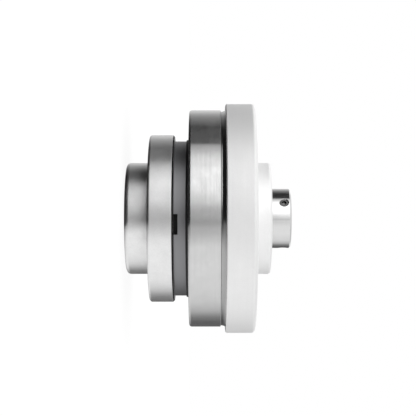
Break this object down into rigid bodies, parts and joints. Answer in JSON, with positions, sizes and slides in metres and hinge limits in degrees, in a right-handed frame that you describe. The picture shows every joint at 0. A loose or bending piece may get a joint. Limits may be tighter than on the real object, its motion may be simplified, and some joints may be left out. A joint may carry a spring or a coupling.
{
  "type": "strain wave gear",
  "caption": "Hollow-shaft strain wave gear unit with an output flange, a cross-roller bearing ring, a wide mounting flange and a through bore.",
  "frame": {"origin": "centre of the output hub's end face", "axes": "+Z along the gear axis from the output hub to the input shaft's free end; +X towards the first mounting hole and the teeth's fullest mesh"},
  "size_m": [0.074, 0.074, 0.0528],
  "materials": {
    "pale_flange": "bead blasted, very pale",
    "satin_flange": "satin, fine grain",
    "flexspline_steel": "dark oiled steel",
    "ground_ring": "ground round its circumference",
    "dark_steel": "dark, satin",
    "shaft_steel": "fine turned",
    "bearing_steel": "polished bearing steel",
    "black_rubber": "matt black rubber",
    "black_screws": "black oxide",
    "bronze": "satin bronze",
    "spacer_plastic": "natural nylon"
  },
  "bodies": {
    "housing": {"input_flange": "pale_flange", "flexspline": "flexspline_steel", "bearing_outer_ring": "ground_ring", "bearing_seal": "black_rubber", "housing_screws": "black_screws", "ring_o_ring": "black_rubber", "flange_o_ring": "black_rubber", "input_bearing_outer_ring": "bearing_steel", "input_bearing_shields": "bearing_steel", "input_bearing_circlip": "dark_steel", "input_shaft_seal": "black_rubber", "input_seal_spring": "bearing_steel"},
    "output": {"output_flange": "satin_flange", "circular_spline": "dark_steel", "bearing_inner_ring_front": "bearing_steel", "bearing_inner_ring_rear": "bearing_steel", "output_screws": "black_screws", "locating_pins": "bearing_steel", "output_o_ring": "black_rubber", "output_bearing_outer_ring": "bearing_steel", "output_bearing_shields": "bearing_steel", "output_bearing_circlip": "dark_steel", "output_shaft_seal": "black_rubber", "output_seal_spring": "bearing_steel"},
    "input": {"hollow_shaft": "shaft_steel", "output_bearing_inner_ring": "bearing_steel", "input_bearing_inner_ring": "bearing_steel", "cam_spacer": "bearing_steel", "thrust_washer": "bronze", "flexible_bearing_inner_race": "bearing_steel", "flexible_bearing_outer_race": "bearing_steel", "flexible_bearing_balls": "bearing_steel", "flexible_bearing_cage": "bronze", "shaft_circlips": "dark_steel", "clamp_set_screws": "black_screws"},
    "cross_roller_set": {"cross_rollers": "bearing_steel", "roller_spacers": "spacer_plastic"},
    "input_ball_set": {"input_bearing_balls": "bearing_steel", "input_bearing_cage": "bronze"},
    "output_ball_set": {"output_bearing_balls": "bearing_steel", "output_bearing_cage": "bronze"}
  },
  "joints": [
    {"name": "output_turn", "type": "hinge", "parent": "housing", "child": "output", "pos_m": [0, 0, 0.0185], "axis": [0, 0, 1], "continuous": true},
    {"name": "input_spin", "type": "hinge", "parent": "housing", "child": "input", "pos_m": [0, 0, 0.0185], "axis": [0, 0, 1], "continuous": true, "deforming": ["flexspline"]},
    {"name": "roller_orbit", "type": "hinge", "parent": "housing", "child": "cross_roller_set", "pos_m": [0, 0, 0.0254], "axis": [0, 0, 1], "continuous": true},
    {"name": "input_ball_orbit", "type": "hinge", "parent": "housing", "child": "input_ball_set", "pos_m": [0, 0, 0.0378], "axis": [0, 0, 1], "continuous": true},
    {"name": "output_ball_orbit", "type": "hinge", "parent": "output", "child": "output_ball_set", "pos_m": [0, 0, 0.0085], "axis": [0, 0, 1], "continuous": true}
  ],
  "couplings": [
    {"joint": "input_spin", "follows": "output_turn", "ratio": 51},
    {"joint": "roller_orbit", "follows": "output_turn", "ratio": 0.48146},
    {"joint": "input_ball_orbit", "follows": "output_turn", "ratio": 22.067},
    {"joint": "output_ball_orbit", "follows": "output_turn", "ratio": 21.635}
  ]
}
